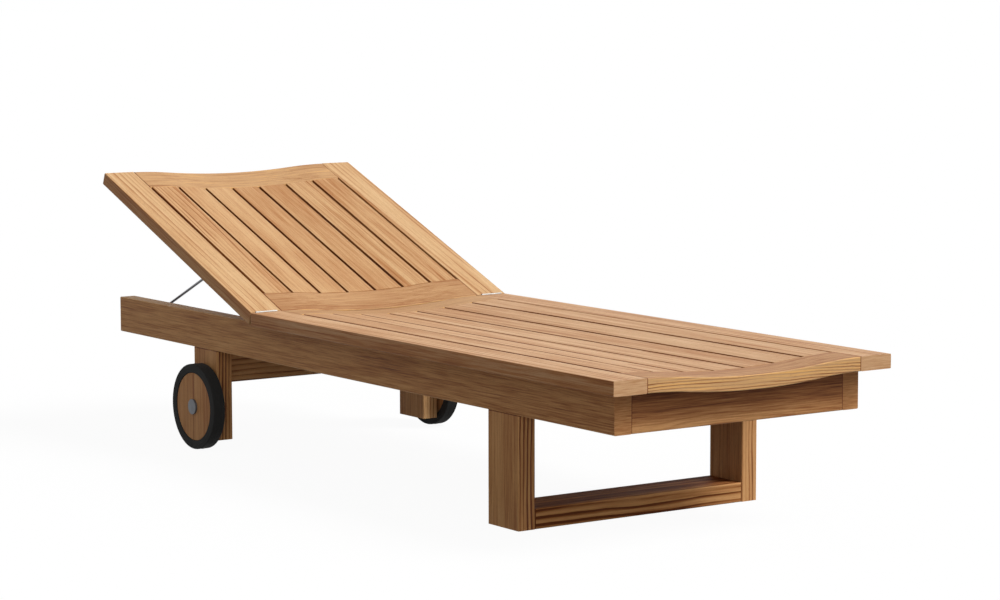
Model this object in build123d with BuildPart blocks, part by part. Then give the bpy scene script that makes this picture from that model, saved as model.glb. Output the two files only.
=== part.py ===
from build123d import *
import os
from dataclasses import dataclass
from math import asin, atan, atan2, cos, degrees, radians, sin, sqrt

os.makedirs("parts", exist_ok=True)

# Driving sizes of the lounger, in millimetres and degrees.
# X runs across, the foot end is at -Y, the head at +Y, Z is up from the floor.
deck_width = 700.0
deck_height = 350.0
seat_length = 1362.0
back_length = 757.0
back_angle = 21.4

# Deck boards of the seat and the backrest
board = 30.0
stile_width = 80.0
end_rail_width = 88.0
slat_count = 7
slat_gap = 6.25
slat_thickness = 18.0
scoop_depth = 14.0
scoop_knee_share = 0.35
edge_round = 2.5
slat_round = 1.5

# Joinery
tenon_thickness = 10.0
tenon_length = 22.0
stile_tenon_share = 0.275
tenon_shoulder = 12.0
tongue_thickness = 7.0
tongue_length = 10.0
tongue_shoulder = 8.0
joint_fit = 0.1
overrun = 5.0

# Under-frame
frame_board = 41.0
side_rail_height = 85.0
side_rail_length = 2022.0
side_overhang = 41.0
front_overhang = 52.0
leg_depth = 108.0
front_leg_setback = 318.0
rear_leg_setback = 233.0
rear_leg_lift = 24.0
leg_tenon_thickness = 14.0
leg_tenon_shoulder = 16.0
leg_tenon_height = 45.0
stretcher_height = 42.0
apron_share = 0.605
apron_thickness = 40.0

# Battens under the slats
batten_width = 40.0
seat_batten_depth = 62.0
back_batten_depth = 50.0
seat_batten_shares = (1 / 3, 2 / 3)
batten_side_gap = 4.0
batten_tenon_length = 12.0
batten_tenon_thickness = 8.0
batten_tenon_skin = 1.0
batten_tenon_shoulder = 8.0

# Screws under the slats, in the racks and in the saddles
screw_length = 24.0
screw_radius = 2.0
screw_head_radius = 3.8
screw_head_height = 2.0
screw_skin = 6.0
screw_clearance = 0.3
screw_head_clearance = 0.7
pilot_clearance = 0.1

# Butt hinges, let into the end faces of the stiles
hinge_share = 0.7
hinge_gap = 1.0
flat_clearance = 0.5
leaf_thickness = 1.6
leaf_skin = 4.0
knuckle_count = 5
knuckle_radius = 2.4
knuckle_clearance = 0.3
hinge_pin_radius = 1.2
pin_running_clearance = 0.06
pin_seat_clearance = 0.02
hinge_screw_radius = 1.4
hinge_screw_head_radius = 2.8
hinge_screw_length = 18.0
hinge_screw_count = 2
hinge_screw_share = 0.5
hinge_screw_drop_share = 0.62

# Bent steel bail that props the backrest, and the notched racks for its feet
rod_radius = 3.2
bail_pivot_distance = 333.0
bail_batten_gap = 1.0
bail_leg_length = 360.6
bail_rail_gap = 25.0
foot_rail_gap = 4.0
bail_bend = 15.0
foot_bend = 10.0
foot_drop = 75.0
foot_clearance = 0.8
bail_ratio = -2.0
back_positions = (21.4, 34.0, 47.0, 60.0)
rack_thickness = 18.0
rack_height = 32.0
rack_end = 12.0
rack_samples = 12
notch_clearance = 0.6
rack_screw_count = 3
rack_screw_sink = 6.0
rack_screw_drop = 20.0

# Saddles that hold the bail under the backrest
saddle_share = 0.62
saddle_width = 18.0
saddle_wall = 2.0
saddle_flange = 14.0
saddle_bore_clearance = 0.08

# Wheels
wheel_radius = 101.0
disc_radius = 80.0
tyre_width = 31.0
tyre_round = 7.0
tyre_lip_round = 1.2
disc_thickness = 27.0
disc_round = 2.0
axle_radius = 6.0
axle_running_clearance = 0.06
axle_head_radius = 13.0
axle_head_thickness = 3.0
spacer_thickness = 4.0
spacer_radius = 14.0
bush_radius = 11.0
bush_stand = 0.5
wheel_side_clearance = 0.3
nut_flats = 19.0
nut_thickness = 9.0
nut_washer_radius = 14.0
nut_washer_thickness = 2.0
bolt_tail = 3.0
cap_radius = 18.0
cap_wall = 1.7
cap_rise = 1.0
cap_clearance = 0.5

# Sizes that follow from those above
lean = radians(back_angle)
opening_half = deck_width / 2 - stile_width
slat_pitch = (2 * opening_half - slat_gap) / slat_count
slat_width = slat_pitch - slat_gap
hinge_height = deck_height + flat_clearance
end_tenon_width = end_rail_width - 2 * tenon_shoulder
rail_outer = deck_width / 2 - side_overhang
rail_inner = rail_outer - frame_board
rail_top = deck_height - board
rail_bottom = rail_top - side_rail_height
apron_height = apron_share * (rail_bottom - wheel_radius)
stile_tenon_length = stile_tenon_share * stile_width
hinge_length = hinge_share * stile_width
hinge_screw_spacing = hinge_screw_share * hinge_length
leaf_height = board - leaf_skin
hinge_screw_drop = hinge_screw_drop_share * leaf_height
bail_pivot_depth = back_batten_depth + bail_batten_gap + rod_radius
bail_leg_x = rail_inner - bail_rail_gap
bail_foot_x = rail_inner - foot_rail_gap
foot_height = deck_height - foot_drop
saddle_x = saddle_share * bail_leg_x

# The hinge line stands behind the middle, so that the origin is at the middle of the footprint
rounding = edge_round * (cos(lean) + sin(lean) - 1)
back_reach = back_length * cos(lean) + (board + scoop_depth) * sin(lean) - rounding
rail_reach = side_rail_length - seat_length + front_overhang
rear_reach = max(back_reach, rail_reach)
hinge_y = (seat_length - rear_reach) / 2
front_end = hinge_y - seat_length + front_overhang
rear_end = front_end + side_rail_length
front_leg_y = front_end + front_leg_setback
rear_leg_y = hinge_y + rear_leg_setback
wheel_y = rear_leg_y + leg_depth / 2


@dataclass
class Panel:
    """One slatted frame: a plane on its top at the hinge, the way it runs, and its length."""

    name: str
    plane: Plane
    sense: int
    length: float
    axis_height: float

    def along(self):
        """The direction of the panel's long boards."""
        return Axis((0, 0, 0), self.plane.y_dir)

    def up(self):
        """The direction square to the panel's top."""
        return Axis((0, 0, 0), self.plane.z_dir)

    def across(self, distance, x=0.0, z=0.0, tilt=0.0):
        """A cross-section plane at a distance from the hinge, turned by a tilt about the long way."""
        origin = self.plane.from_local_coords((x, self.sense * distance, z))
        x_dir = self.plane.x_dir * cos(tilt) + self.plane.z_dir * sin(tilt)
        return Plane(origin=origin, x_dir=x_dir, z_dir=self.plane.y_dir * -1)

    def end_rail_centres(self):
        """Distances from the hinge of the middles of the two end rails."""
        near = hinge_gap / 2 + end_rail_width / 2
        far = self.length - end_rail_width / 2
        return near, far

    def slat_span(self):
        """The middle and the length of the slats between the end rails."""
        near, far = self.end_rail_centres()
        return (near + far) / 2, far - near - end_rail_width


seat = Panel(
    "seat",
    Plane(origin=(0, hinge_y, deck_height), x_dir=(1, 0, 0), z_dir=(0, 0, 1)),
    -1,
    seat_length,
    flat_clearance,
)
back = Panel(
    "back",
    Plane(origin=(0, hinge_y, hinge_height), x_dir=(1, 0, 0), z_dir=(0, -sin(lean), cos(lean))),
    1,
    back_length,
    0.0,
)
sides = {"left": -1, "right": 1}


def keep(piece, name):
    """Names a finished piece and writes it."""
    piece.part.label = name
    export_step(piece.part, f"parts/{name}.step")


def block(xs, ys, zs, mode=Mode.ADD):
    """A box between two places along each axis of the plane in use."""
    with Locations(((xs[0] + xs[1]) / 2, (ys[0] + ys[1]) / 2, (zs[0] + zs[1]) / 2)):
        Box(abs(xs[1] - xs[0]), abs(ys[1] - ys[0]), abs(zs[1] - zs[0]), mode=mode)


def bar_along_x(radius, xs, y, z, mode=Mode.ADD):
    """A cylinder along X between two places."""
    with Locations(Location(((xs[0] + xs[1]) / 2, y, z), (0, 90, 0))):
        Cylinder(radius, abs(xs[1] - xs[0]), mode=mode)


def around(middle, size):
    """The two ends of a size laid evenly about its middle."""
    return middle - size / 2, middle + size / 2


# Scooped section of the deck

scoop_turn = 2 * atan(scoop_depth / opening_half)
knee = scoop_knee_share * opening_half
knee_radius = knee / sin(scoop_turn)
belly_radius = (opening_half - knee) / sin(scoop_turn)


def scoop(x):
    """Height of the scooped surface against the stiles: a knee at each side and a wide hollow."""
    inward = opening_half - abs(x)
    if inward < knee:
        return sqrt(knee_radius**2 - inward**2) - knee_radius
    return belly_radius - sqrt(belly_radius**2 - x**2) - scoop_depth


def scoop_line(half_width, drop):
    """The scooped edge as three arcs from left to right, lowered by a drop."""
    bend = opening_half - knee

    def point(x):
        return x, scoop(x) - drop

    ThreePointArc(point(-half_width), point(-(half_width + bend) / 2), point(-bend))
    ThreePointArc(point(-bend), point(0), point(bend))
    ThreePointArc(point(bend), point((half_width + bend) / 2), point(half_width))


def slat_seat(index):
    """Place across, height and tilt of one slat's top, laid on the scoop as a chord."""
    x = (index - (slat_count - 1) / 2) * slat_pitch
    low = scoop(x - slat_width / 2)
    high = scoop(x + slat_width / 2)
    return x, (low + high) / 2, atan2(high - low, slat_width)


def slat_underside():
    """Corner points of the slats' undersides, from left to right."""
    points = []
    for index in range(slat_count):
        x, z, tilt = slat_seat(index)
        for end in (-slat_width / 2, slat_width / 2):
            points.append((
                x + end * cos(tilt) + slat_thickness * sin(tilt),
                z + end * sin(tilt) - slat_thickness * cos(tilt),
            ))
    return points


# Bail and rack geometry, in the plane across the lounger

pivot_y = hinge_y + bail_pivot_distance * cos(lean) + bail_pivot_depth * sin(lean)
pivot_z = hinge_height + bail_pivot_distance * sin(lean) - bail_pivot_depth * cos(lean)
bail_slope = asin((pivot_z - foot_height) / bail_leg_length)


def foot_place(angle):
    """Where the bail's foot is, as y and z, with the backrest at an angle in degrees."""
    turn = radians(angle)
    slope = bail_slope - (1 + bail_ratio) * (turn - lean)
    y = hinge_y + bail_pivot_distance * cos(turn) + bail_pivot_depth * sin(turn)
    z = hinge_height + bail_pivot_distance * sin(turn) - bail_pivot_depth * cos(turn)
    return y + bail_leg_length * cos(slope), z - bail_leg_length * sin(slope)


# Boards of the seat and the backrest


def make_stile(panel, side):
    """A long side board, mortised for the end rails and let in for the hinge."""
    start = hinge_gap / 2
    outer = side * (opening_half + stile_width)
    inner = side * opening_half
    hinge_x = (outer + inner) / 2
    ends = (panel.sense * start, panel.sense * panel.length)
    with BuildPart(panel.plane) as stile:
        block((inner, outer), ends, (-board, 0))
        fillet(edges().filter_by(panel.along()), edge_round)
        for centre in panel.end_rail_centres():
            block(
                (inner - side * overrun, inner + side * (stile_tenon_length + joint_fit)),
                around(panel.sense * centre, end_tenon_width + 2 * joint_fit),
                around(-board / 2, tenon_thickness + 2 * joint_fit),
                Mode.SUBTRACT,
            )
        if panel is back:
            block(
                (inner - side * overrun, inner + side * (batten_tenon_length + joint_fit)),
                around(bail_pivot_distance, batten_width + 2 * joint_fit),
                around(batten_tenon_height(), batten_tenon_thickness + 2 * joint_fit),
                Mode.SUBTRACT,
            )
        block(
            around(hinge_x, hinge_length + 2 * joint_fit),
            (panel.sense * (start - overrun), panel.sense * (start + leaf_thickness)),
            (-leaf_height - joint_fit, overrun),
            Mode.SUBTRACT,
        )
        bar_along_x(
            knuckle_radius + knuckle_clearance,
            around(hinge_x, hinge_length + 2 * joint_fit),
            0,
            panel.axis_height,
            Mode.SUBTRACT,
        )
        for x, height in hinge_screw_places(side):
            with Locations(panel_screw(panel, x, height)):
                Cylinder(
                    hinge_screw_radius + pilot_clearance,
                    hinge_screw_length + joint_fit,
                    align=(Align.CENTER, Align.CENTER, Align.MIN),
                    mode=Mode.SUBTRACT,
                )
    return stile


def make_end_rail(panel, centre):
    """A scooped board between the stiles, tenoned at its ends and mortised for the slats."""
    middle, length = panel.slat_span()
    with BuildPart(panel.plane) as rail:
        with BuildSketch(panel.across(centre)):
            with BuildLine():
                scoop_line(opening_half, 0)
                Line((opening_half, 0), (opening_half, -board))
                scoop_line(opening_half, board)
                Line((-opening_half, -board), (-opening_half, 0))
            make_face()
        extrude(amount=end_rail_width / 2, both=True)
        end_faces = faces().sort_by(panel.along())
        curved = [
            edge
            for face in (end_faces[0], end_faces[-1])
            for edge in face.edges()
            if edge.geom_type == GeomType.CIRCLE
        ]
        fillet(curved, edge_round)
        for side in sides.values():
            block(
                (side * (opening_half - overrun), side * (opening_half + stile_tenon_length)),
                around(panel.sense * centre, end_tenon_width),
                around(-board / 2, tenon_thickness),
            )
        for index in range(slat_count):
            x, z, tilt = slat_seat(index)
            with BuildSketch(panel.across(middle, x, z, tilt)):
                with Locations((0, -slat_thickness / 2)):
                    Rectangle(
                        slat_width - 2 * tongue_shoulder + 2 * joint_fit,
                        tongue_thickness + 2 * joint_fit,
                    )
            extrude(amount=length / 2 + tongue_length + joint_fit, both=True, mode=Mode.SUBTRACT)
    return rail


def make_slat(panel, index, batten_distances):
    """A flat slat, tongued into the end rails and drilled for the screws in the battens."""
    middle, length = panel.slat_span()
    x, z, tilt = slat_seat(index)
    with BuildPart(panel.plane) as slat:
        with BuildSketch(panel.across(middle, x, z, tilt)):
            with Locations((0, -slat_thickness / 2)):
                Rectangle(slat_width, slat_thickness)
        extrude(amount=length / 2, both=True)
        fillet(edges().filter_by(panel.along()).sort_by(panel.up())[-2:], slat_round)
        with BuildSketch(panel.across(middle, x, z, tilt)):
            with Locations((0, -slat_thickness / 2)):
                Rectangle(slat_width - 2 * tongue_shoulder, tongue_thickness)
        extrude(amount=length / 2 + tongue_length, both=True)
        for distance in batten_distances:
            with Locations((x, panel.sense * distance, z - screw_skin + joint_fit)):
                Cylinder(
                    screw_radius + pilot_clearance,
                    slat_thickness,
                    align=(Align.CENTER, Align.CENTER, Align.MAX),
                    mode=Mode.SUBTRACT,
                )
    return slat


def batten_tenon_height():
    """Height of the middle of the tenon at each end of the back's batten."""
    return -slat_thickness - batten_tenon_skin - batten_tenon_thickness / 2


def batten_outline(half_width, depth):
    """Outline of a batten: seats for the slats above the deck frame's underside, straight below."""
    under = slat_underside()
    field = under[-1][0]
    left = [(-half_width, -depth), (-half_width, -board), (-field, -board)]
    right = [(-x, z) for x, z in reversed(left)]
    return [*left, *under, *right]


def cut_batten_screw_holes(panel, distance, depth):
    """A clearance hole and a deep counterbore under each slat."""
    for index in range(slat_count):
        x, z, _ = slat_seat(index)
        head = z - screw_skin - screw_length
        with Locations((x, panel.sense * distance, head + screw_head_height)):
            Cylinder(
                screw_radius + screw_clearance,
                screw_length,
                align=(Align.CENTER, Align.CENTER, Align.MIN),
                mode=Mode.SUBTRACT,
            )
            Cylinder(
                screw_head_radius + screw_head_clearance,
                depth,
                align=(Align.CENTER, Align.CENTER, Align.MAX),
                mode=Mode.SUBTRACT,
            )


def make_seat_batten(distance):
    """A bearer between the side rails that carries the seat slats."""
    with BuildPart(seat.plane) as batten:
        with BuildSketch(seat.across(distance)):
            with BuildLine():
                Polyline(batten_outline(rail_inner, seat_batten_depth), close=True)
            make_face()
        extrude(amount=batten_width / 2, both=True)
        cut_batten_screw_holes(seat, distance, seat_batten_depth)
        for side in sides.values():
            block(
                (side * (rail_inner - overrun), side * (rail_inner + batten_tenon_length)),
                around(-distance, batten_width - 2 * batten_tenon_shoulder),
                around(seat_batten_tenon_height(), batten_tenon_thickness),
            )
    return batten


def seat_batten_tenon_height():
    """Height of the middle of the seat battens' tenons, half way down below the deck frame."""
    return -(board + seat_batten_depth) / 2


def make_back_batten():
    """The bearer across the middle of the backrest, tenoned into its stiles."""
    body_half = rail_inner - batten_side_gap
    with BuildPart(back.plane) as batten:
        with BuildSketch(back.across(bail_pivot_distance)):
            with BuildLine():
                Polyline(batten_outline(body_half, back_batten_depth), close=True)
            make_face()
        extrude(amount=batten_width / 2, both=True)
        cut_batten_screw_holes(back, bail_pivot_distance, back_batten_depth)
        for side in sides.values():
            block(
                (side * (body_half - overrun), side * (opening_half + batten_tenon_length)),
                around(bail_pivot_distance, batten_width),
                around(batten_tenon_height(), batten_tenon_thickness),
            )
        for x, distance in saddle_screw_places():
            with Locations((x, distance, -back_batten_depth - overrun)):
                Cylinder(
                    screw_radius + pilot_clearance,
                    overrun + screw_length - screw_head_height - saddle_wall + joint_fit,
                    align=(Align.CENTER, Align.CENTER, Align.MIN),
                    mode=Mode.SUBTRACT,
                )
    return batten


def saddle_screw_places():
    """Where the saddles are screwed to the batten, across and from the hinge."""
    reach = rod_radius + saddle_bore_clearance + saddle_wall + saddle_flange / 2
    return [
        (side * saddle_x, bail_pivot_distance + end * reach)
        for side in sides.values()
        for end in (-1, 1)
    ]


# Hinges


def hinge_middle(side):
    """Place across of a hinge: the middle of its stile."""
    return side * (opening_half + stile_width / 2)


def hinge_screw_places(side):
    """Where a leaf's screws are, across and above or below the panel's top."""
    middle = hinge_middle(side)
    return [
        (middle + (step - (hinge_screw_count - 1) / 2) * hinge_screw_spacing, -hinge_screw_drop)
        for step in range(hinge_screw_count)
    ]


def panel_screw(panel, x, height):
    """A place on a leaf's outer face, turned so that local Z runs into the stile."""
    return Location((x, panel.sense * hinge_gap / 2, height), (-90 * panel.sense, 0, 0))


def knuckle_ends(side, index):
    """The two ends of one knuckle along the pin."""
    length = hinge_length / knuckle_count
    middle = hinge_middle(side) + (index - (knuckle_count - 1) / 2) * length
    return around(middle, length - knuckle_clearance)


def make_leaf(panel, side):
    """A hinge leaf: a plate on the stile's end, notched between its own knuckles round the pin."""
    own = 0 if panel is seat else 1
    face = hinge_gap / 2
    length = hinge_length / knuckle_count
    with BuildPart(panel.plane) as leaf:
        block(
            around(hinge_middle(side), hinge_length),
            (panel.sense * face, panel.sense * (face + leaf_thickness)),
            (-leaf_height, panel.axis_height),
        )
        for index in range(knuckle_count):
            ends = knuckle_ends(side, index)
            if index % 2 == own:
                bar_along_x(knuckle_radius, ends, 0, panel.axis_height)
            else:
                middle = (ends[0] + ends[1]) / 2
                block(
                    around(middle, length + knuckle_clearance),
                    (0, panel.sense * (face + leaf_thickness + overrun)),
                    around(panel.axis_height, 2 * (knuckle_radius + knuckle_clearance)),
                    Mode.SUBTRACT,
                )
        clearance = pin_seat_clearance if panel is seat else pin_running_clearance
        bar_along_x(
            hinge_pin_radius + clearance,
            around(hinge_middle(side), hinge_length + overrun),
            0,
            panel.axis_height,
            Mode.SUBTRACT,
        )
        for x, height in hinge_screw_places(side):
            with Locations(panel_screw(panel, x, height)):
                Cone(
                    hinge_screw_head_radius + joint_fit,
                    hinge_screw_radius + joint_fit,
                    leaf_thickness,
                    align=(Align.CENTER, Align.CENTER, Align.MIN),
                    mode=Mode.SUBTRACT,
                )
    return leaf


def make_hinge_screws(panel):
    """The countersunk screws of both leaves on one panel."""
    with BuildPart(panel.plane) as screws:
        for side in sides.values():
            for x, height in hinge_screw_places(side):
                with Locations(panel_screw(panel, x, height)):
                    Cone(
                        hinge_screw_head_radius,
                        hinge_screw_radius,
                        leaf_thickness,
                        align=(Align.CENTER, Align.CENTER, Align.MIN),
                    )
                    Cylinder(
                        hinge_screw_radius,
                        hinge_screw_length,
                        align=(Align.CENTER, Align.CENTER, Align.MIN),
                    )
    return screws


def make_hinge_pins():
    """The pins of both hinges."""
    with BuildPart(seat.plane) as pins:
        for side in sides.values():
            bar_along_x(hinge_pin_radius, around(hinge_middle(side), hinge_length), 0, seat.axis_height)
    return pins


# Under-frame


def leg_tenon(side, y, mode, fit=0.0):
    """The tenon on a leg's top, or with a fit the mortise for it."""
    block(
        around(side * (rail_outer + rail_inner) / 2, leg_tenon_thickness + 2 * fit),
        around(y + leg_depth / 2, leg_depth - 2 * leg_tenon_shoulder + 2 * fit),
        (rail_bottom - overrun, rail_bottom + leg_tenon_height + fit),
        mode,
    )


def cross_tenons(ys, zs, inner, length, mode, fit=0.0):
    """Tenons at both ends of a board between two uprights, or with a fit the mortises for them."""
    for side in sides.values():
        block(
            (side * (inner - overrun), side * (inner + length + fit)),
            (ys[0] - fit, ys[1] + fit),
            (zs[0] - fit, zs[1] + fit),
            mode,
        )


def front_rail_tenon():
    """The y and z range of the front rail's tenons."""
    ys = around(front_end + frame_board / 2, tenon_thickness)
    return ys, (rail_bottom + tenon_shoulder, rail_top - scoop_depth - tenon_shoulder)


def stretcher_tenon():
    """The y and z range of the stretcher's tenons."""
    ys = around(front_leg_y + leg_depth / 2, leg_depth - 2 * leg_tenon_shoulder)
    return ys, around(stretcher_height / 2, tenon_thickness)


def apron_tenon():
    """The y and z range of the rear apron's tenons."""
    ys = around(wheel_y, tenon_thickness)
    return ys, (rail_bottom - apron_height + tenon_shoulder, rail_bottom - tenon_shoulder)


def make_side_rail(side):
    """A long rail under the deck, mortised for what it carries."""
    with BuildPart() as rail:
        block((side * rail_inner, side * rail_outer), (front_end, rear_end), (rail_bottom, rail_top))
        fillet(edges().filter_by(Axis.Y), edge_round)
        leg_tenon(side, front_leg_y, Mode.SUBTRACT, joint_fit)
        leg_tenon(side, rear_leg_y, Mode.SUBTRACT, joint_fit)
        cross_tenons(*front_rail_tenon(), rail_inner, tenon_length, Mode.SUBTRACT, joint_fit)
        height = deck_height + seat_batten_tenon_height()
        for distance in seat_batten_distances:
            cross_tenons(
                around(hinge_y - distance, batten_width - 2 * batten_tenon_shoulder),
                around(height, batten_tenon_thickness),
                rail_inner,
                batten_tenon_length,
                Mode.SUBTRACT,
                joint_fit,
            )
        for y, z in rack_screw_places():
            bar_along_x(
                screw_radius + pilot_clearance,
                (side * (rail_inner - overrun), side * (rack_screw_tip() + joint_fit)),
                y,
                z,
                Mode.SUBTRACT,
            )
    return rail


def make_front_rail():
    """The rail between the side rails at the foot end, its top cut to the deck's scoop."""
    plane = Plane(origin=(0, front_end + frame_board / 2, deck_height), x_dir=(1, 0, 0), z_dir=(0, -1, 0))
    with BuildPart() as rail:
        with BuildSketch(plane):
            with BuildLine():
                scoop_line(rail_inner, board)
                right = scoop(rail_inner) - board
                Line((rail_inner, right), (rail_inner, rail_bottom - deck_height))
                Line((rail_inner, rail_bottom - deck_height), (-rail_inner, rail_bottom - deck_height))
                Line((-rail_inner, rail_bottom - deck_height), (-rail_inner, right))
            make_face()
        extrude(amount=frame_board / 2, both=True)
        fillet(edges().filter_by(Axis.X), edge_round)
        cross_tenons(*front_rail_tenon(), rail_inner, tenon_length, Mode.ADD)
    return rail


def make_front_leg(side):
    """A flat front leg, tenoned up into the side rail and mortised for the stretcher."""
    with BuildPart() as leg:
        block(
            (side * rail_inner, side * rail_outer),
            (front_leg_y, front_leg_y + leg_depth),
            (0, rail_bottom),
        )
        fillet(edges().filter_by(Axis.Z), edge_round)
        leg_tenon(side, front_leg_y, Mode.ADD)
        cross_tenons(*stretcher_tenon(), rail_inner, tenon_length, Mode.SUBTRACT, joint_fit)
    return leg


def make_front_stretcher():
    """The board on the floor between the front legs."""
    with BuildPart() as stretcher:
        block(
            (-rail_inner, rail_inner),
            (front_leg_y, front_leg_y + leg_depth),
            (0, stretcher_height),
        )
        fillet(edges().filter_by(Axis.X), edge_round)
        cross_tenons(*stretcher_tenon(), rail_inner, tenon_length, Mode.ADD)
    return stretcher


def make_rear_leg(side):
    """A short rear leg that carries the wheel's axle clear of the floor."""
    with BuildPart() as leg:
        block(
            (side * rail_inner, side * rail_outer),
            (rear_leg_y, rear_leg_y + leg_depth),
            (rear_leg_lift, rail_bottom),
        )
        fillet(edges().filter_by(Axis.Z), edge_round)
        leg_tenon(side, rear_leg_y, Mode.ADD)
        cross_tenons(*apron_tenon(), rail_inner, tenon_length, Mode.SUBTRACT, joint_fit)
        bar_along_x(
            axle_radius + axle_running_clearance,
            (side * (rail_inner - overrun), side * (rail_outer + overrun)),
            wheel_y,
            wheel_radius,
            Mode.SUBTRACT,
        )
    return leg


def make_rear_apron():
    """The board on edge between the rear legs, just below the side rails."""
    with BuildPart() as apron:
        block(
            (-rail_inner, rail_inner),
            around(wheel_y, apron_thickness),
            (rail_bottom - apron_height, rail_bottom),
        )
        fillet(edges().filter_by(Axis.X), edge_round)
        cross_tenons(*apron_tenon(), rail_inner, tenon_length, Mode.ADD)
    return apron


# Racks and bail


def rack_top_points():
    """Points just under the foot's path down to its lowest notch, then level to where the foot ends."""
    points = []
    for step in range(rack_samples + 1):
        angle = back_positions[-1] + (back_positions[0] - back_positions[-1]) * step / rack_samples
        y, z = foot_place(angle)
        points.append((y, z - rod_radius - foot_clearance))
    end, _ = foot_place(0)
    points.append((end, points[-1][1]))
    return points


def rack_screw_places():
    """Where the racks are screwed to the rails, as y and z, between the notches."""
    top = rack_top_points()
    front = top[0][0]
    length = top[-1][0] - front
    low = min(z for _, z in top)
    return [
        (front + length * (step + 1 / 2) / rack_screw_count, low - rack_screw_drop)
        for step in range(rack_screw_count)
    ]


def rack_screw_tip():
    """How far out a rack screw's tip reaches into the side rail."""
    return rail_inner - rack_thickness + rack_screw_sink + screw_length


def make_rack(side):
    """A notched rack on the inner face of a side rail."""
    top = rack_top_points()
    low = min(z for _, z in top) - rack_height
    front = top[0][0] - rack_end
    rear = top[-1][0] + rack_end
    outline = [(front, low), (front, top[0][1]), *top, (rear, top[-1][1]), (rear, low)]
    inner = rail_inner - rack_thickness
    plane = Plane(origin=(side * (inner + rail_inner) / 2, 0, 0), x_dir=(0, 1, 0), z_dir=(1, 0, 0))
    with BuildPart() as rack:
        with BuildSketch(plane):
            with BuildLine():
                Polyline(outline, close=True)
            make_face()
            for angle in back_positions:
                y, z = foot_place(angle)
                with Locations((y, z - rod_radius - foot_clearance)):
                    Circle(rod_radius + notch_clearance, mode=Mode.SUBTRACT)
        extrude(amount=rack_thickness / 2, both=True)
        for y, z in rack_screw_places():
            bar_along_x(
                screw_radius + screw_clearance,
                (side * (inner - overrun), side * (rail_inner + overrun)),
                y,
                z,
                Mode.SUBTRACT,
            )
            bar_along_x(
                screw_head_radius + screw_head_clearance,
                (side * (inner - overrun), side * (inner + rack_screw_sink + screw_head_height)),
                y,
                z,
                Mode.SUBTRACT,
            )
    return rack


def make_bail():
    """The bent rod: a bar in the saddles, two legs, and a foot turned out at the end of each."""
    plane = Plane(
        origin=(0, pivot_y, pivot_z),
        x_dir=(1, 0, 0),
        z_dir=(0, sin(bail_slope), cos(bail_slope)),
    )
    corners = [
        (-bail_foot_x, bail_leg_length),
        (-bail_leg_x, bail_leg_length),
        (-bail_leg_x, 0),
        (bail_leg_x, 0),
        (bail_leg_x, bail_leg_length),
        (bail_foot_x, bail_leg_length),
    ]
    start = plane.from_local_coords((-bail_foot_x, bail_leg_length, 0))
    with BuildPart() as bail:
        with BuildLine(plane) as path:
            FilletPolyline(*corners, radius=[foot_bend, bail_bend, bail_bend, foot_bend])
        with BuildSketch(Plane(origin=start, x_dir=plane.z_dir, z_dir=plane.x_dir)):
            Circle(rod_radius)
        sweep(path=path.wires()[0])
    return bail


def make_saddle(side):
    """A strap round the bail's bar, screwed up into the back's batten."""
    bore = rod_radius + saddle_bore_clearance
    outer = bore + saddle_wall
    drop = bail_pivot_depth - back_batten_depth
    origin = back.plane.from_local_coords((side * saddle_x, bail_pivot_distance, -bail_pivot_depth))
    section = Plane(origin=origin, x_dir=back.plane.y_dir, z_dir=back.plane.x_dir)
    with BuildPart(back.plane) as saddle:
        with BuildSketch(section):
            Circle(outer)
            with Locations((0, drop / 2)):
                Rectangle(2 * outer, drop)
            with Locations((0, drop + outer / 2)):
                Rectangle(2 * outer, outer, mode=Mode.SUBTRACT)
            with Locations((0, drop - saddle_wall / 2)):
                Rectangle(2 * (outer + saddle_flange), saddle_wall)
            Circle(bore, mode=Mode.SUBTRACT)
            with Locations((0, drop / 2)):
                Rectangle(2 * bore, drop, mode=Mode.SUBTRACT)
        extrude(amount=saddle_width / 2, both=True)
        for x, distance in saddle_screw_places():
            if x * side > 0:
                with Locations((x, distance, -back_batten_depth - saddle_wall / 2)):
                    Cylinder(screw_radius + screw_clearance, 2 * saddle_wall, mode=Mode.SUBTRACT)
    return saddle


# Screws


def upright_screw(x, y, head):
    """One screw along the plane's Z, its head below."""
    with Locations((x, y, head)):
        Cylinder(screw_head_radius, screw_head_height, align=(Align.CENTER, Align.CENTER, Align.MIN))
        Cylinder(screw_radius, screw_length, align=(Align.CENTER, Align.CENTER, Align.MIN))


def slat_screws(panel, distance):
    """One row of screws through a batten into the slats."""
    for index in range(slat_count):
        x, z, _ = slat_seat(index)
        upright_screw(x, panel.sense * distance, z - screw_skin - screw_length)


def make_frame_screws():
    """The screws of the seat battens and of the racks."""
    head = rail_inner - rack_thickness + rack_screw_sink
    with BuildPart(seat.plane) as screws:
        for distance in seat_batten_distances:
            slat_screws(seat, distance)
        for side in sides.values():
            for y, z in rack_screw_places():
                place = (y - hinge_y, z - deck_height)
                bar_along_x(screw_head_radius, (side * head, side * (head + screw_head_height)), *place)
                bar_along_x(screw_radius, (side * head, side * (head + screw_length)), *place)
    return screws


def make_back_screws():
    """The screws of the back's batten and of the saddles."""
    with BuildPart(back.plane) as screws:
        slat_screws(back, bail_pivot_distance)
        for x, distance in saddle_screw_places():
            upright_screw(x, distance, -back_batten_depth - saddle_wall - screw_head_height)
    return screws


# Wheels, each turned about its axle

wheel_inner = rail_outer + spacer_thickness
wheel_outer = wheel_inner + tyre_width
disc_inner = wheel_inner + (tyre_width - disc_thickness) / 2
disc_outer = disc_inner + disc_thickness
bush_inner = wheel_inner + wheel_side_clearance
bush_outer = disc_outer + bush_stand
head_inner = bush_outer + wheel_side_clearance
head_outer = head_inner + axle_head_thickness
cap_outer = head_outer + cap_clearance + cap_wall


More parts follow.
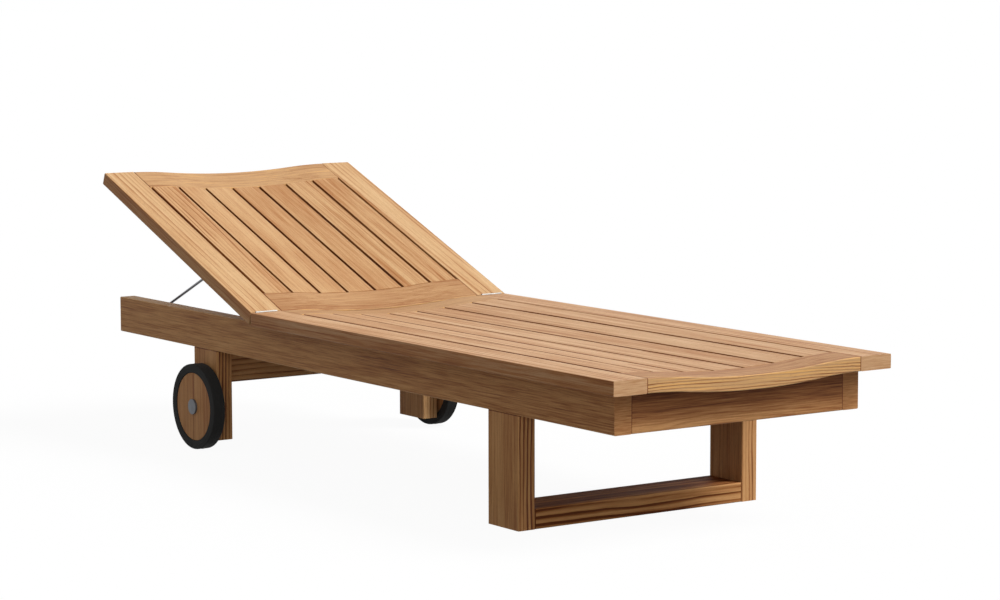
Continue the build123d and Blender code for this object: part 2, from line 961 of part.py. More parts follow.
def turning_plane(side):
    """A plane through the axle: its X runs outwards along the axle, its Y is the radius."""
    return Plane(origin=(0, wheel_y, wheel_radius), x_dir=(side, 0, 0), z_dir=(0, -side, 0))


def turned(side, outline):
    """Turns an outline of distance outwards and radius about the axle."""
    with BuildSketch(turning_plane(side)) as section:
        with BuildLine():
            Polyline(outline, close=True)
        make_face()
    revolve(section.sketch, axis=Axis((0, wheel_y, wheel_radius), (side, 0, 0)))


def ring(inner, outer, low, high):
    """Outline of a plain ring."""
    return [(inner, low), (outer, low), (outer, high), (inner, high)]


def make_tyre(side):
    """A solid tyre with round shoulders, its lips a little proud of the disc."""
    bore = disc_radius + joint_fit
    with BuildPart() as tyre:
        with BuildSketch(turning_plane(side)):
            with BuildLine():
                Polyline(ring(wheel_inner, wheel_outer, bore, wheel_radius), close=True)
            make_face()
            corners = vertices().sort_by(Axis.Z)
            fillet(corners[-2:], tyre_round)
            fillet(corners[:2], tyre_lip_round)
        revolve(axis=Axis((0, wheel_y, wheel_radius), (side, 0, 0)))
    return tyre


def make_disc(side):
    """The wooden disc of a wheel."""
    with BuildPart() as disc:
        turned(side, ring(disc_inner, disc_outer, bush_radius + joint_fit, disc_radius))
        rims = edges().filter_by(GeomType.CIRCLE).sort_by(SortBy.RADIUS)[-2:]
        fillet(rims, disc_round)
    return disc


def make_bush(side):
    """The plain bearing pressed into the disc."""
    with BuildPart() as bush:
        turned(side, ring(bush_inner, bush_outer, axle_radius + axle_running_clearance, bush_radius))
    return bush


def make_cap(side):
    """A low domed cap over the axle's head, seated on the disc."""
    crown = cap_outer - cap_rise
    ceiling = cap_outer - cap_wall
    bore = cap_radius - cap_wall
    dome_radius = (cap_radius**2 + cap_rise**2) / (2 * cap_rise)
    half_way = cap_outer - dome_radius + sqrt(dome_radius**2 - (cap_radius / 2) ** 2)
    with BuildPart() as cap:
        with BuildSketch(turning_plane(side)):
            with BuildLine():
                Polyline((ceiling, 0), (ceiling, bore), (disc_outer, bore), (disc_outer, cap_radius))
                Line((disc_outer, cap_radius), (crown, cap_radius))
                ThreePointArc((crown, cap_radius), (half_way, cap_radius / 2), (cap_outer, 0))
                Line((cap_outer, 0), (ceiling, 0))
            make_face()
        revolve(axis=Axis((0, wheel_y, wheel_radius), (side, 0, 0)))
    return cap


def make_axle(side):
    """A headed axle bolt through the rear leg."""
    tail = rail_inner - nut_washer_thickness - nut_thickness - bolt_tail
    with BuildPart() as axle:
        turned(
            side,
            [
                (tail, 0),
                (tail, axle_radius),
                (head_inner, axle_radius),
                (head_inner, axle_head_radius),
                (head_outer, axle_head_radius),
                (head_outer, 0),
            ],
        )
    return axle


def make_axle_spacers():
    """The washers between each rear leg and its wheel."""
    with BuildPart() as spacers:
        for side in sides.values():
            turned(side, ring(rail_outer, wheel_inner, axle_radius + joint_fit, spacer_radius))
    return spacers


def make_axle_nuts():
    """A flanged nut on the inner face of each rear leg."""
    with BuildPart() as nuts:
        for side in sides.values():
            washer = rail_inner - nut_washer_thickness
            turned(side, ring(washer, rail_inner, axle_radius + joint_fit, nut_washer_radius))
            plane = Plane(origin=(side * washer, wheel_y, wheel_radius), x_dir=(0, 1, 0), z_dir=(-side, 0, 0))
            with BuildSketch(plane):
                RegularPolygon(nut_flats / 2, 6, major_radius=False)
                Circle(axle_radius + joint_fit, mode=Mode.SUBTRACT)
            extrude(amount=nut_thickness)
    return nuts


# Where the battens cross the slats, as distances from the hinge
seat_middle, seat_slat_length = seat.slat_span()
seat_batten_distances = [
    seat_middle + (share - 1 / 2) * seat_slat_length for share in seat_batten_shares
]
batten_distances = {"seat": seat_batten_distances, "back": [bail_pivot_distance]}

# Under-frame
for side_name, side_sign in sides.items():
    keep(make_side_rail(side_sign), f"side_rail_{side_name}")
    keep(make_front_leg(side_sign), f"front_leg_{side_name}")
    keep(make_rear_leg(side_sign), f"rear_leg_{side_name}")
    keep(make_rack(side_sign), f"rack_{side_name}")
keep(make_front_rail(), "front_rail")
keep(make_front_stretcher(), "front_stretcher")
keep(make_rear_apron(), "rear_apron")

# Seat and backrest
for panel in (seat, back):
    for side_name, side_sign in sides.items():
        keep(make_stile(panel, side_sign), f"{panel.name}_stile_{side_name}")
        keep(make_leaf(panel, side_sign), f"{panel.name}_hinge_leaf_{side_name}")
    for end_name, centre in zip(("hinge", "far"), panel.end_rail_centres()):
        keep(make_end_rail(panel, centre), f"{panel.name}_end_rail_{end_name}")
    for index in range(slat_count):
        keep(make_slat(panel, index, batten_distances[panel.name]), f"{panel.name}_slat_{index + 1}")
    keep(make_hinge_screws(panel), f"{panel.name}_hinge_screws")
for number, distance in enumerate(seat_batten_distances, start=1):
    keep(make_seat_batten(distance), f"seat_batten_{number}")
keep(make_back_batten(), "back_batten")
keep(make_hinge_pins(), "hinge_pins")
keep(make_frame_screws(), "frame_screws")
keep(make_back_screws(), "back_screws")

# Bail
keep(make_bail(), "bail")
for side_name, side_sign in sides.items():
    keep(make_saddle(side_sign), f"bail_saddle_{side_name}")

# Wheels
for side_name, side_sign in sides.items():
    keep(make_tyre(side_sign), f"tyre_{side_name}")
    keep(make_disc(side_sign), f"wheel_disc_{side_name}")
    keep(make_bush(side_sign), f"wheel_bush_{side_name}")
    keep(make_cap(side_sign), f"hub_cap_{side_name}")
    keep(make_axle(side_sign), f"axle_{side_name}")
keep(make_axle_spacers(), "axle_spacers")
keep(make_axle_nuts(), "axle_nuts")

for angle in (0.0, *back_positions):
    y, z = foot_place(angle)
    print(f"backrest at {angle:.1f} degrees: foot at y {y:.1f}, z {z:.1f}")
print(f"hinge at y {hinge_y:.3f}, z {hinge_height:.3f}; bail pivot at y {pivot_y:.3f}, z {pivot_z:.3f}")
print(f"bail slope {degrees(bail_slope):.2f} degrees; wheel axis at y {wheel_y:.2f}, z {wheel_radius:.2f}")
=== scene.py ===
"""Looks of the slatted sun lounger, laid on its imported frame.

Every CAD node but the tyres keeps its shape and gets a procedural teak, steel or nylon. Two finer
tyres take the place of the tyre nodes. Round the lounger are the photograph's camera, three broad
lamps, an even sky and a white floor.
"""

import logging
import math
from dataclasses import dataclass, replace
from enum import Enum
from typing import ClassVar

import bpy  # noqa: E402
import numpy as np  # noqa: E402
from mathutils import Matrix, Vector  # noqa: E402


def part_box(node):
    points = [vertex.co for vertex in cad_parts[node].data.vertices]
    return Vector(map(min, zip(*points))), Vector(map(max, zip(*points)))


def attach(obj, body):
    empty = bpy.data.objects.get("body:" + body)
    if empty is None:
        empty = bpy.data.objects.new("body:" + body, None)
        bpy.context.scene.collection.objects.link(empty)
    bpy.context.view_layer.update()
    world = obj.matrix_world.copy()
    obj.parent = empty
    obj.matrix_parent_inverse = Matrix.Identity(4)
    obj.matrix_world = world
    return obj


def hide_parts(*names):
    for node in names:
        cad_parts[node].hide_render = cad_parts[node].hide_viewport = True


logging.basicConfig(level=logging.INFO, format="%(message)s")
log = logging.getLogger("lounger")

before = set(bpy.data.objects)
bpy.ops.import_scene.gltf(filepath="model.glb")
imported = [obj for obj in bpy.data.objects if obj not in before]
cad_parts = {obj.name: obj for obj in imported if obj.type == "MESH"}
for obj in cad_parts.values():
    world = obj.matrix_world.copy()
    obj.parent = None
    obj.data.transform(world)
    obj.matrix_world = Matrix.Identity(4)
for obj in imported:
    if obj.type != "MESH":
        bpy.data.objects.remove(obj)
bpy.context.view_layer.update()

Triple = tuple[float, float, float]
Span = tuple[float, float]

LEAN = math.radians(21.4)  # how far the backrest is raised at rest
MM = 0.001  # a millimetre in metres
SIDES = ("left", "right")
WHITE = (1.0, 1.0, 1.0, 1.0)
NOISE_MIDDLE = 0.5
MIX_FACTOR, MIX_FIRST, MIX_SECOND, MIX_COLOUR = 0, 6, 7, 2  # a Mix node's sockets for colours
SCREEN_WHITE = 255
FOOT_END, FOOT_SLOPE = 0.04045, 12.92  # the straight foot of a screen's curve
CURVE_OFFSET, CURVE_SCALE, CURVE_POWER = 0.055, 1.055, 2.4  # and the power law above it


def linear(share: float) -> float:
    """Turns a screen value into linear light: a power law with a straight foot.

    Args:
        share: the screen value, from 0 to 1.

    Returns:
        The light, from 0 to 1.
    """
    if share <= FOOT_END:
        return share / FOOT_SLOPE
    return ((share + CURVE_OFFSET) / CURVE_SCALE) ** CURVE_POWER


def colour(red: int, green: int, blue: int) -> Triple:
    """A screen colour of 0 to 255 as linear light."""
    return tuple(linear(part / SCREEN_WHITE) for part in (red, green, blue))


def opaque(shade: Triple) -> tuple[float, float, float, float]:
    """A colour with full cover."""
    return (*shade, 1.0)


def put(name: str, data: bpy.types.ID) -> bpy.types.Object:
    """Puts a mesh, a lamp or a camera into the scene.

    Args:
        name: the object's name.
        data: what it shows.

    Returns:
        The object.
    """
    made = bpy.data.objects.new(name, data)
    bpy.context.scene.collection.objects.link(made)
    return made


class Grain(Enum):
    """How a board lies: the directions of its grain and its width in the lounger's frame."""

    LENGTHWISE_FLAT = ((0, 1, 0), (-1, 0, 0))
    CROSSWISE_FLAT = ((1, 0, 0), (0, 1, 0))
    LENGTHWISE_ON_EDGE = ((0, 1, 0), (0, 0, 1))
    CROSSWISE_ON_EDGE = ((1, 0, 0), (0, 0, 1))
    UPRIGHT = ((0, 0, 1), (0, 1, 0))

    def turn(self, lean: float) -> Matrix:
        """The board's own axes as a rotation matrix.

        Args:
            lean: angle in radians by which the board is turned up about X.

        Returns:
            A 3 x 3 matrix whose columns are grain, width and thickness.
        """
        along, across = (Vector(direction) for direction in self.value)
        own = Matrix((along, across, along.cross(across))).transposed()
        return Matrix.Rotation(lean, 3, "X") @ own


@dataclass(frozen=True)
class Layer:
    """One layer of noise: how it is stretched, where it is read and how fine it goes."""

    scales: Triple  # features to a millimetre along each axis
    shift: float = 0.0  # how far along the pattern it is read, so that no two layers agree
    detail: float = 2.0  # how many finer layers it has

    @classmethod
    def even(cls, scale: float, shift: float, detail: float = 2.0) -> "Layer":
        """A layer that is the same along every axis."""
        return cls((scale, scale, scale), shift, detail)

    @classmethod
    def grained(cls, along: float, across: float, shift: float, detail: float = 2.0) -> "Layer":
        """A layer that is stretched along a board's grain."""
        return cls((along, across, across), shift, detail)


class Wire:
    """A socket that takes part in plain expressions, each of which adds a Math node."""

    def __init__(self, tree: "Tree", socket: bpy.types.NodeSocket) -> None:
        """Wraps a socket of a tree."""
        self.tree = tree
        self.socket = socket

    def _math(self, operation: str, *values: "Wire | float") -> "Wire":
        """One Math node on the given values."""
        return self.tree.node("ShaderNodeMath", {"operation": operation}, dict(enumerate(values)))

    def __add__(self, other: "Wire | float") -> "Wire":
        """The sum."""
        return self._math("ADD", self, other)

    __radd__ = __add__

    def __sub__(self, other: "Wire | float") -> "Wire":
        """The difference."""
        return self._math("SUBTRACT", self, other)

    def __rsub__(self, other: float) -> "Wire":
        """The difference, the other way round."""
        return self._math("SUBTRACT", other, self)

    def __mul__(self, other: "Wire | float") -> "Wire":
        """The product."""
        return self._math("MULTIPLY", self, other)

    __rmul__ = __mul__

    def __truediv__(self, other: "Wire | float") -> "Wire":
        """The quotient."""
        return self._math("DIVIDE", self, other)

    def __abs__(self) -> "Wire":
        """The size without its sign."""
        return self._math("ABSOLUTE", self)

    def root(self) -> "Wire":
        """The square root."""
        return self._math("SQRT", self)

    def fraction(self) -> "Wire":
        """What is left after whole steps are taken off."""
        return self._math("FRACT", self)

    def largest(self, other: "Wire | float") -> "Wire":
        """The larger of two values."""
        return self._math("MAXIMUM", self, other)

    def centred(self) -> "Wire":
        """Noise of 0 to 1, moved to lie about 0."""
        return self - NOISE_MIDDLE

    def above(self, low: float, high: float) -> "Wire":
        """Makes a smooth step.

        Args:
            low: the value up to which it is 0.
            high: the value from which it is 1.

        Returns:
            The step.
        """
        inputs = {"Value": self, "From Min": low, "From Max": high}
        settings = {"interpolation_type": "SMOOTHSTEP"}
        return self.tree.node("ShaderNodeMapRange", settings, inputs, "Result")


class Tree:
    """A node tree, built with one method for every kind of node."""

    def __init__(self, owner: bpy.types.Material | bpy.types.World) -> None:
        """Starts the owner's tree empty.

        Args:
            owner: the material or the world that the nodes belong to.
        """
        owner.use_nodes = True
        self.nodes = owner.node_tree.nodes
        self.links = owner.node_tree.links
        self.nodes.clear()

    def node(
        self,
        kind: str,
        settings: dict[str, object],
        inputs: dict[int | str, object],
        output: int | str | None = 0,
    ) -> Wire | None:
        """Adds a node.

        Args:
            kind: the node's type.
            settings: attributes set before anything is linked; "stops" fills a colour ramp.
            inputs: a value or a Wire for each socket, by index or name.
            output: which output comes back, or None for a node that has none.

        Returns:
            The output, ready for expressions.
        """
        made = self.nodes.new(kind)
        for key, value in settings.items():
            if key == "stops":
                self._fill(made.color_ramp, value)
            else:
                setattr(made, key, value)
        for key, value in inputs.items():
            if isinstance(value, Wire):
                self.links.new(value.socket, made.inputs[key])
            else:
                made.inputs[key].default_value = value
        return None if output is None else Wire(self, made.outputs[output])

    @staticmethod
    def _fill(ramp: bpy.types.ColorRamp, stops: list[tuple[float, Triple]]) -> None:
        """Gives a colour ramp its stops.

        Args:
            ramp: the ramp, which has two stops of its own.
            stops: the place and the colour of each, from the lowest up.
        """
        for _ in stops[len(ramp.elements) :]:
            ramp.elements.new(0.5)  # anywhere between the first two: it gets its place below
        for element, (place, shade) in zip(ramp.elements, stops):
            element.position = place
            element.color = opaque(shade)

    def mix_shaders(self, factor: Wire | float, first: Wire, second: Wire) -> Wire:
        """Two shaders mixed by a factor."""
        return self.node("ShaderNodeMixShader", {}, {0: factor, 1: first, 2: second})

    def seen_directly(self) -> Wire:
        """Tells a look from the light that falls on the object.

        Returns:
            1 where the camera or a glossy ray looks, and otherwise 0.
        """
        camera = self.node("ShaderNodeLightPath", {}, {}, "Is Camera Ray")
        glossy = self.node("ShaderNodeLightPath", {}, {}, "Is Glossy Ray")
        return camera.largest(glossy)


class Painter(Tree):
    """Builds one material out of nodes."""

    def __init__(self, name: str) -> None:
        """Starts an empty material."""
        self.material = bpy.data.materials.new(name)
        super().__init__(self.material)

    def finish(self, **values: object) -> bpy.types.Material:
        """Ends the material with a Principled shader.

        Args:
            values: a value or a Wire for each socket; an underscore in a name stands for a space.

        Returns:
            The material.
        """
        sockets = {key.replace("_", " "): value for key, value in values.items()}
        surface = self.node("ShaderNodeBsdfPrincipled", {}, sockets)
        self.node("ShaderNodeOutputMaterial", {}, {"Surface": surface}, None)
        return self.material

    def place(self, origin: Vector, turn: Matrix) -> Wire:
        """Object coordinates in millimetres, measured along a board's own axes.

        Args:
            origin: where they are zero, in metres.
            turn: the board's own axes.

        Returns:
            The coordinates along its grain, its width and its thickness.
        """
        inputs = {
            "Vector": self.node("ShaderNodeTexCoord", {}, {}, "Object"),
            "Location": tuple(origin),
            "Rotation": tuple(turn.to_euler("XYZ")),
            "Scale": (MM, MM, MM),
        }
        return self.node("ShaderNodeMapping", {"vector_type": "TEXTURE"}, inputs)

    def here(self) -> Wire:
        """Object coordinates in millimetres along the lounger's own axes."""
        return self.place(Vector((0.0, 0.0, 0.0)), Matrix.Identity(3))

    def split(self, vector: Wire) -> tuple[Wire, Wire, Wire]:
        """The three parts of a vector."""
        parts = self.node("ShaderNodeSeparateXYZ", {}, {"Vector": vector})
        return tuple(Wire(self, socket) for socket in parts.socket.node.outputs)

    def facing(self, direction: Vector) -> Wire:
        """How squarely the surface faces along a direction or against it.

        Args:
            direction: a direction in the lounger's frame, one long.

        Returns:
            The size of its product with the surface's normal, from 0 to 1.
        """
        normal = self.node("ShaderNodeTexCoord", {}, {}, "Normal")
        inputs = {0: normal, 1: tuple(direction)}
        return abs(self.node("ShaderNodeVectorMath", {"operation": "DOT_PRODUCT"}, inputs, "Value"))

    def noise(self, vector: Wire, layer: Layer, seed: float = 0.0) -> Wire:
        """Noise of about 0 to 1, stretched along each axis.

        Args:
            vector: where it is read, in millimetres.
            layer: its scales, its shift and its detail.
            seed: a further shift, so that no two pieces agree.

        Returns:
            The noise, centred on 0.5.
        """
        shift = seed + layer.shift
        inputs = {0: vector, 1: layer.scales, 2: (shift, shift, shift)}
        stretched = self.node("ShaderNodeVectorMath", {"operation": "MULTIPLY_ADD"}, inputs)
        inputs = {"Vector": stretched, "Scale": 1.0, "Detail": layer.detail}
        return self.node("ShaderNodeTexNoise", {"noise_dimensions": "3D"}, inputs)

    def mix(self, factor: Wire | float, first: object, second: object) -> Wire:
        """Two colours mixed by a factor."""
        inputs = {MIX_FACTOR: factor, MIX_FIRST: first, MIX_SECOND: second}
        return self.node("ShaderNodeMix", {"data_type": "RGBA"}, inputs, MIX_COLOUR)

    def bump(self, height: Wire, strength: float) -> Wire:
        """A bump of a height in millimetres that feeds Normal."""
        inputs = {"Height": height, "Distance": MM, "Strength": strength}
        return self.node("ShaderNodeBump", {}, inputs)


@dataclass(frozen=True)
class Teak:
    """Bare sanded teak: growth rings about a pith that lies off the board, under stretched streaks.

    A ring is where the distance to the pith passes a multiple of the spacing, so a face that the
    rings cross shows straight lines, and one that they run along shows long arches. The layers add
    up to a depth of colour, which a ramp turns into pale at 0 and dark at 1. Painted light and
    shade are added to it on the faces that look along the width, and painted shade along the width.
    Lengths are in millimetres.
    """

    pale: Triple = colour(226, 178, 124)
    middle: Triple = colour(208, 154, 100)
    brown: Triple = colour(166, 108, 63)
    dark: Triple = colour(104, 57, 30)
    tone: float = 0.0  # above 0 the board is darker
    ring_spacing: float = 8.0
    ring_strength: float = 0.30
    ring_wander: float = 12.0
    ring_wobble: float = 2.0
    ring_slope: float = 0.006
    pith_width: float = 20.0  # where the pith lies, along the width and the thickness
    pith_depth: float = -70.0
    streak_width: float = 9.0
    streak_strength: float = 0.60
    fine_strength: float = 0.34
    fleck_strength: float = 0.30
    cloud_strength: float = 0.55
    roughness: float = 0.56
    sheen: float = 0.16  # the shader's specular level
    seam: float = 0.0  # how far from the middle another board meets it, or 0 for none
    seam_one_end: bool = False  # only at the end that the grain points to
    glue_line: bool = False  # whether a glued joint runs through the middle
    painted_edge_shade: float = 0.0  # painted light and shade on the faces that look along the width: darker above 0, lighter below
    edge_rings: float = 0.0  # and how much stronger the rings are there
    painted_shade_drift: float = 0.0  # painted shade: how fast it darkens along the width
    end_scales: Triple = (0.02, 0.03, 0.42)  # the scales of the lines on end grain

    # The layers of noise, along the grain and across it.
    STREAK_ALONG: ClassVar[float] = 0.0018
    STREAK_SHIFT: ClassVar[float] = 3.1
    END_SHIFT: ClassVar[float] = 53.0
    FINE: ClassVar[Layer] = Layer.grained(0.008, 0.36, 11.7)
    CLOUD: ClassVar[Layer] = Layer.grained(0.0028, 0.02, 19.9)
    FIBRE: ClassVar[Layer] = Layer.grained(0.03, 1.7, 29.0)
    FLECK: ClassVar[Layer] = Layer.grained(0.013, 0.40, 61.0, 3.0)
    UNEVEN: ClassVar[Layer] = Layer.grained(0.002, 0.045, 37.0, 1.0)
    PORES: ClassVar[Layer] = Layer.grained(0.075, 2.3, 41.0, 0.0)
    WANDER: ClassVar[Layer] = Layer.grained(0.0022, 0.012, 0.0)
    WOBBLE: ClassVar[Layer] = Layer.grained(0.012, 0.05, 7.3, 1.0)

    # Smooth steps, from 0 at the first number to 1 at the second.
    END_FACING: ClassVar[Span] = (0.8, 0.97)
    EDGE_FACING: ClassVar[Span] = (0.3, 0.75)
    UNEVEN_STEP: ClassVar[Span] = (0.36, 0.62)
    LATE_RISE: ClassVar[Span] = (0.35, 0.93)
    LATE_FALL: ClassVar[Span] = (0.93, 1.0)
    PORE_STEP: ClassVar[Span] = (0.66, 0.74)
    GLUE_STEP: ClassVar[Span] = (0.5, 1.1)

    # Shares of the depth of colour.
    BASE_DEPTH: ClassVar[float] = 0.40
    STREAK_REACH: ClassVar[float] = 1.7
    FIBRE_STRENGTH: ClassVar[float] = 0.26
    LATE_FLOOR: ClassVar[float] = 0.35  # what is left of the rings where they are faintest
    END_DEPTH: ClassVar[float] = 0.46
    END_STRENGTH: ClassVar[float] = 0.7
    SEAM_LINE: ClassVar[Span] = (2.0, 1.2)  # how far inside the seam its line starts and is full
    SEAM_DEPTH: ClassVar[float] = 0.4
    SEAM_EDGE_DEPTH: ClassVar[float] = 0.5
    GLUE_DEPTH: ClassVar[float] = 0.3
    GLUE_SLANT: ClassVar[float] = 0.03
    STOPS: ClassVar[tuple[float, ...]] = (0.0, 0.42, 0.74, 1.0)

    # Shares of the pores' colour, of the relief and of the roughness.
    PORE_SHADE: ClassVar[float] = 0.3
    FIBRE_HEIGHT: ClassVar[float] = 0.05
    FINE_HEIGHT: ClassVar[float] = 0.05
    PORE_HOLLOW: ClassVar[float] = 0.06
    LATE_HOLLOW: ClassVar[float] = 0.03
    RELIEF: ClassVar[float] = 0.5
    FIBRE_ROUGHNESS: ClassVar[float] = 0.16
    STREAK_ROUGHNESS: ClassVar[float] = 0.12

    def paint(self, name: str, origin: Vector, turn: Matrix, seed: float) -> bpy.types.Material:
        """Makes the material of one board.

        Args:
            name: the material's name.
            origin: the middle of the board.
            turn: the board's own axes.
            seed: shifts every pattern, so that each board differs.

        Returns:
            The material.
        """
        painter = Painter(name)
        here = painter.place(origin, turn)
        streak_scale = 1.0 / self.streak_width
        streaks = Layer.grained(self.STREAK_ALONG, streak_scale, self.STREAK_SHIFT)
        streak = painter.noise(here, streaks, seed)
        fine = painter.noise(here, self.FINE, seed)
        cloud = painter.noise(here, self.CLOUD, seed)
        fibre = painter.noise(here, self.FIBRE, seed)
        fleck = painter.noise(here, self.FLECK, seed)
        late = self._late_wood(painter, here, seed)
        uneven = painter.noise(here, self.UNEVEN, seed).above(*self.UNEVEN_STEP)
        end = painter.facing(turn.col[0]).above(*self.END_FACING)
        edge = painter.facing(turn.col[1]).above(*self.EDGE_FACING)
        along, across, _ = painter.split(here)

        depth = (
            self.BASE_DEPTH
            + self.tone
            + streak.centred() * (self.STREAK_REACH * self.streak_strength)
            + cloud.centred() * self.cloud_strength
            + late * (uneven + self.LATE_FLOOR) * (edge * self.edge_rings + self.ring_strength)
            + fine.centred() * self.fine_strength
            + fleck.centred() * self.fleck_strength
            + fibre.centred() * self.FIBRE_STRENGTH
            # painted light and shade on the faces that look along the width
            + edge * self.painted_edge_shade
            # painted shade along the width: the front rail darker towards its top, under the deck's
            # overhang
            + across * self.painted_shade_drift
        )
        end_lines = painter.noise(here, Layer(self.end_scales, self.END_SHIFT), seed)
        end_depth = end_lines.centred() * self.END_STRENGTH + self.END_DEPTH + self.tone
        depth = depth * (1.0 - end) + end_depth * end
        if self.seam:
            reach = along if self.seam_one_end else abs(along)
            start, full = (self.seam - inside for inside in self.SEAM_LINE)
            line = reach.above(start, full) * (1.0 - end)
            depth = depth + line * (edge * self.SEAM_EDGE_DEPTH + self.SEAM_DEPTH)
        if self.glue_line:
            away = abs(across + along * self.GLUE_SLANT)
            depth = depth + (1.0 - away.above(*self.GLUE_STEP)) * self.GLUE_DEPTH
        stops = list(zip(self.STOPS, (self.pale, self.middle, self.brown, self.dark)))
        wood = painter.node("ShaderNodeValToRGB", {"stops": stops}, {"Fac": depth})

        pore = painter.noise(here, self.PORES, seed).above(*self.PORE_STEP)
        rise = fibre * self.FIBRE_HEIGHT + fine * self.FINE_HEIGHT
        relief = rise - pore * self.PORE_HOLLOW - late * self.LATE_HOLLOW
        fibre_rough = fibre.centred() * self.FIBRE_ROUGHNESS
        streak_rough = streak.centred() * self.STREAK_ROUGHNESS
        return painter.finish(
            Base_Color=painter.mix(pore * self.PORE_SHADE, wood, opaque(self.dark)),
            Roughness=fibre_rough + streak_rough + self.roughness,
            Normal=painter.bump(relief, self.RELIEF),
            Specular_IOR_Level=self.sheen,
        )

    def _late_wood(self, painter: Painter, here: Wire, seed: float) -> Wire:
        """The dark share of each growth ring: it deepens slowly outwards and ends sharply.

        The distance to the pith, bent by two slow noises and sloped along the grain, is divided by
        the spacing. What is left after whole rings is the place within a ring.

        Args:
            painter: the material's nodes.
            here: where it is read.
            seed: the board's own shift.

        Returns:
            The share, from 0 to 1.
        """
        along, across, deep = painter.split(here)
        wander = painter.noise(here, self.WANDER, seed).centred()
        wobble = painter.noise(here, self.WOBBLE, seed).centred()
        bent = wander * self.ring_wander
        side = across - self.pith_width + bent
        depth = deep - self.pith_depth + bent + wobble * self.ring_wobble
        radius = (side * side + depth * depth).root() + along * self.ring_slope
        ring = (radius / self.ring_spacing).fraction()
        return ring.above(*self.LATE_RISE) * (1.0 - ring.above(*self.LATE_FALL))


@dataclass(frozen=True)
class Rubber:
    """Matt black tyre rubber with a fine skin and a little dust on it."""

    black: Triple = colour(46, 46, 45)
    dust: Triple = colour(57, 56, 55)
    patches: Layer = Layer.even(0.03, 3.0, 3.0)
    patch_step: Span = (0.45, 0.8)
    dust_share: float = 0.35
    skin: Layer = Layer.even(1.1, 5.0)
    skin_height: float = 0.05
    relief: float = 0.6
    roughness: float = 0.74
    dust_roughness: float = 0.2
    sheen: float = 0.15

    def paint(self, name: str) -> bpy.types.Material:
        """Makes the material.

        Args:
            name: its name.

        Returns:
            The material.
        """
        painter = Painter(name)
        here = painter.here()
        cloud = painter.noise(here, self.patches)
        dusty = cloud.above(*self.patch_step) * self.dust_share
        skin = painter.noise(here, self.skin)
        return painter.finish(
            Base_Color=painter.mix(dusty, opaque(self.black), opaque(self.dust)),
            Roughness=self.roughness + cloud * self.dust_roughness,
            Normal=painter.bump(skin * self.skin_height, self.relief),
            Specular_IOR_Level=self.sheen,
        )


@dataclass(frozen=True)
class Steel:
    """Satin steel, brushed along one axis or evenly."""

    shade: Triple = (0.56, 0.56, 0.57)
    roughness: float = 0.32
    brushed: Triple = (0.05, 3.0, 3.0)
    brush_shift: float = 2.0
    brush_height: float = 0.02
    brush_roughness: float = 0.2
    relief: float = 0.4
    patches: Layer = Layer.even(0.06, 9.0)
    dullness: float = 0.72
    dull_share: float = 0.6
    dull_roughness: float = 0.1

    def paint(self, name: str) -> bpy.types.Material:
        """Makes the material.

        Args:
            name: its name.

        Returns:
            The material.
        """
        painter = Painter(name)
        here = painter.here()
        lines = painter.noise(here, Layer(self.brushed, self.brush_shift))
        cloud = painter.noise(here, self.patches)
        dull = tuple(part * self.dullness for part in self.shade)
        rough = self.roughness + lines.centred() * self.brush_roughness
        return painter.finish(
            Base_Color=painter.mix(cloud * self.dull_share, opaque(self.shade), opaque(dull)),
            Metallic=1.0,
            Roughness=rough + cloud.centred() * self.dull_roughness,
            Normal=painter.bump(lines * self.brush_height, self.relief),
        )


@dataclass(frozen=True)
class Nylon:
    """Matt black nylon."""

    black: Triple = colour(44, 44, 45)
    worn: Triple = colour(56, 56, 57)
    skin: Layer = Layer.even(0.9, 1.0)
    skin_height: float = 0.03
    relief: float = 0.5
    roughness: float = 0.48
    skin_roughness: float = 0.16

    def paint(self, name: str) -> bpy.types.Material:
        """Makes the material.

        Args:
            name: its name.

        Returns:
            The material.
        """
        painter = Painter(name)
        skin = painter.noise(painter.here(), self.skin)
        return painter.finish(
            Base_Color=painter.mix(skin, opaque(self.black), opaque(self.worn)),
            Roughness=self.roughness + skin * self.skin_roughness,
            Normal=painter.bump(skin * self.skin_height, self.relief),
        )


def dress(node: str, material: bpy.types.Material) -> None:
    """Gives a CAD node its material.

    Args:
        node: the node's name.
        material: what it is made of.
    """
    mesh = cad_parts[node].data
    mesh.materials.clear()
    mesh.materials.append(material)
    log.info("%s dressed with %s", node, material.name)


def middle_of(node: str) -> Vector:
    """The middle of a CAD node's box."""
    low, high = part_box(node)
    return (low + high) / 2


def board(node: str, finish: Teak, grain: Grain, seed: float, lean: float = 0.0) -> None:
    """Dresses one wooden piece.

    Args:
        node: the CAD node.
        finish: its teak.
        grain: how the board lies.
        seed: shifts its pattern.
        lean: angle by which it is turned up about X, in radians.
    """
    dress(node, finish.paint(f"teak_{node}", middle_of(node), grain.turn(lean), seed))


@dataclass(frozen=True)
class SlatLook:
    """What sets one slat apart: its tone, the strength of its rings and of its streaks."""

    tone: float
    rings: float
    streaks: float


# The looks of slats 1 to 7.
SEAT_SLATS = (
    SlatLook(0.04, 0.20, 0.32),
    SlatLook(0.00, 0.16, 0.30),
    SlatLook(0.08, 0.10, 0.36),
    SlatLook(0.02, 0.12, 0.32),
    SlatLook(0.10, 0.10, 0.40),
    SlatLook(0.04, 0.12, 0.34),
    SlatLook(0.01, 0.10, 0.36),
)
BACK_SLATS = (
    SlatLook(0.00, 0.30, 0.20),
    SlatLook(0.03, 0.06, 0.26),
    SlatLook(0.02, 0.05, 0.22),
    SlatLook(0.08, 0.06, 0.22),
    SlatLook(0.16, 0.08, 0.26),
    SlatLook(0.06, 0.14, 0.62),
    SlatLook(0.05, 0.12, 0.56),
)
